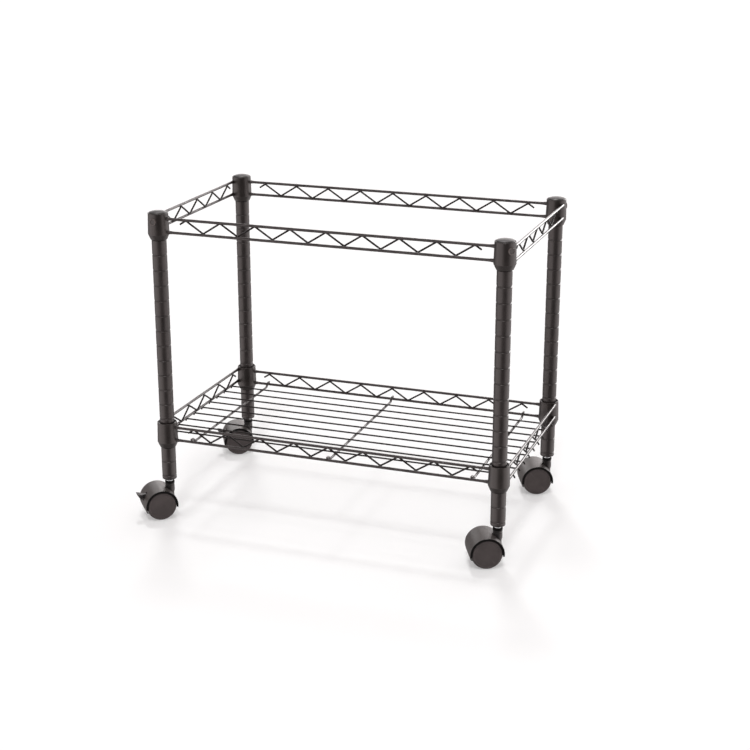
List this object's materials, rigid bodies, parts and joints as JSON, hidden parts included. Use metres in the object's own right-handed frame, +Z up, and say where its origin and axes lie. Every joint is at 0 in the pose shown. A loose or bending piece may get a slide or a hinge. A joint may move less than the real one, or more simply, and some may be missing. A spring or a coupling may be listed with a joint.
{
  "type": "wire shelf cart",
  "caption": "Rolling wire cart with an open top frame for hanging files, a wire shelf below, grooved tube posts and swivelling twin-wheel casters.",
  "frame": {"origin": "on the floor, under the middle of the four posts", "axes": "+X along the long side to the right, +Y to the rear, +Z up"},
  "size_m": [0.6479, 0.3992, 0.5255],
  "materials": {
    "post_coat": "semi-gloss charcoal powder coat",
    "collar_coat": "semi-gloss charcoal powder coat",
    "wire_coat": "semi-gloss charcoal powder coat",
    "black_plastic": "matte",
    "sleeve_plastic": "matte",
    "hood_plastic": "satin",
    "pedal_plastic": "satin",
    "wheel_plastic": "satin",
    "steel": "bright zinc plate"
  },
  "bodies": {
    "frame": {"post_front_left": "post_coat", "post_cap_front_left": "black_plastic", "top_collar_front_left": "collar_coat", "shelf_collar_front_left": "collar_coat", "post_front_right": "post_coat", "post_cap_front_right": "black_plastic", "top_collar_front_right": "collar_coat", "shelf_collar_front_right": "collar_coat", "post_rear_left": "post_coat", "post_cap_rear_left": "black_plastic", "top_collar_rear_left": "collar_coat", "shelf_collar_rear_left": "collar_coat", "post_rear_right": "post_coat", "post_cap_rear_right": "black_plastic", "top_collar_rear_right": "collar_coat", "shelf_collar_rear_right": "collar_coat", "stem_inserts": "black_plastic", "caster_stems": "steel", "top_split_sleeves": "sleeve_plastic", "shelf_split_sleeves": "sleeve_plastic", "top_front_rails": "wire_coat", "top_front_web": "wire_coat", "top_rear_rails": "wire_coat", "top_rear_web": "wire_coat", "top_left_rails": "wire_coat", "top_left_web": "wire_coat", "top_right_rails": "wire_coat", "top_right_web": "wire_coat", "shelf_front_rails": "wire_coat", "shelf_front_web": "wire_coat", "shelf_rear_rails": "wire_coat", "shelf_rear_web": "wire_coat", "shelf_left_rails": "wire_coat", "shelf_left_web": "wire_coat", "shelf_right_rails": "wire_coat", "shelf_right_web": "wire_coat", "shelf_mat_wires": "wire_coat", "shelf_cross_wires": "wire_coat"},
    "caster_front_left": {"caster_housing_front_left": "hood_plastic", "caster_axle_front_left": "steel", "brake_pin_front_left": "steel"},
    "wheel_a_front_left": {"caster_wheel_a_front_left": "wheel_plastic"},
    "wheel_b_front_left": {"caster_wheel_b_front_left": "wheel_plastic"},
    "brake_front_left": {"brake_lever_front_left": "pedal_plastic", "brake_bar_front_left": "steel"},
    "caster_front_right": {"caster_housing_front_right": "hood_plastic", "caster_axle_front_right": "steel"},
    "wheel_a_front_right": {"caster_wheel_a_front_right": "wheel_plastic"},
    "wheel_b_front_right": {"caster_wheel_b_front_right": "wheel_plastic"},
    "caster_rear_left": {"caster_housing_rear_left": "hood_plastic", "caster_axle_rear_left": "steel", "brake_pin_rear_left": "steel"},
    "wheel_a_rear_left": {"caster_wheel_a_rear_left": "wheel_plastic"},
    "wheel_b_rear_left": {"caster_wheel_b_rear_left": "wheel_plastic"},
    "brake_rear_left": {"brake_lever_rear_left": "pedal_plastic", "brake_bar_rear_left": "steel"},
    "caster_rear_right": {"caster_housing_rear_right": "hood_plastic", "caster_axle_rear_right": "steel"},
    "wheel_a_rear_right": {"caster_wheel_a_rear_right": "wheel_plastic"},
    "wheel_b_rear_right": {"caster_wheel_b_rear_right": "wheel_plastic"}
  },
  "joints": [
    {"name": "caster_swivel_front_left", "type": "hinge", "parent": "frame", "child": "caster_front_left", "pos_m": [-0.2875, -0.1605, 0.05], "axis": [0, 0, 1], "continuous": true},
    {"name": "wheel_a_spin_front_left", "type": "hinge", "parent": "caster_front_left", "child": "wheel_a_front_left", "pos_m": [-0.30282, -0.17336, 0.025], "axis": [0.6428, -0.766, 0], "continuous": true},
    {"name": "wheel_b_spin_front_left", "type": "hinge", "parent": "caster_front_left", "child": "wheel_b_front_left", "pos_m": [-0.30282, -0.17336, 0.025], "axis": [0.6428, -0.766, 0], "continuous": true},
    {"name": "brake_press_front_left", "type": "hinge", "parent": "caster_front_left", "child": "brake_front_left", "pos_m": [-0.31431, -0.183, 0.036], "axis": [0.6428, -0.766, 0], "range_deg": [0, 14]},
    {"name": "caster_swivel_front_right", "type": "hinge", "parent": "frame", "child": "caster_front_right", "pos_m": [0.2875, -0.1605, 0.05], "axis": [0, 0, 1], "continuous": true},
    {"name": "wheel_a_spin_front_right", "type": "hinge", "parent": "caster_front_right", "child": "wheel_a_front_right", "pos_m": [0.26952, -0.16927, 0.025], "axis": [0.4384, -0.8988, 0], "continuous": true},
    {"name": "wheel_b_spin_front_right", "type": "hinge", "parent": "caster_front_right", "child": "wheel_b_front_right", "pos_m": [0.26952, -0.16927, 0.025], "axis": [0.4384, -0.8988, 0], "continuous": true},
    {"name": "caster_swivel_rear_left", "type": "hinge", "parent": "frame", "child": "caster_rear_left", "pos_m": [-0.2875, 0.1605, 0.05], "axis": [0, 0, 1], "continuous": true},
    {"name": "wheel_a_spin_rear_left", "type": "hinge", "parent": "caster_rear_left", "child": "wheel_a_rear_left", "pos_m": [-0.30482, 0.1505, 0.025], "axis": [0.5, -0.866, 0], "continuous": true},
    {"name": "wheel_b_spin_rear_left", "type": "hinge", "parent": "caster_rear_left", "child": "wheel_b_rear_left", "pos_m": [-0.30482, 0.1505, 0.025], "axis": [0.5, -0.866, 0], "continuous": true},
    {"name": "brake_press_rear_left", "type": "hinge", "parent": "caster_rear_left", "child": "brake_rear_left", "pos_m": [-0.31781, 0.143, 0.036], "axis": [0.5, -0.866, 0], "range_deg": [0, 14]},
    {"name": "caster_swivel_rear_right", "type": "hinge", "parent": "frame", "child": "caster_rear_right", "pos_m": [0.2875, 0.1605, 0.05], "axis": [0, 0, 1], "continuous": true},
    {"name": "wheel_a_spin_rear_right", "type": "hinge", "parent": "caster_rear_right", "child": "wheel_a_rear_right", "pos_m": [0.26923, 0.15237, 0.025], "axis": [0.4067, -0.9135, 0], "continuous": true},
    {"name": "wheel_b_spin_rear_right", "type": "hinge", "parent": "caster_rear_right", "child": "wheel_b_rear_right", "pos_m": [0.26923, 0.15237, 0.025], "axis": [0.4067, -0.9135, 0], "continuous": true}
  ]
}
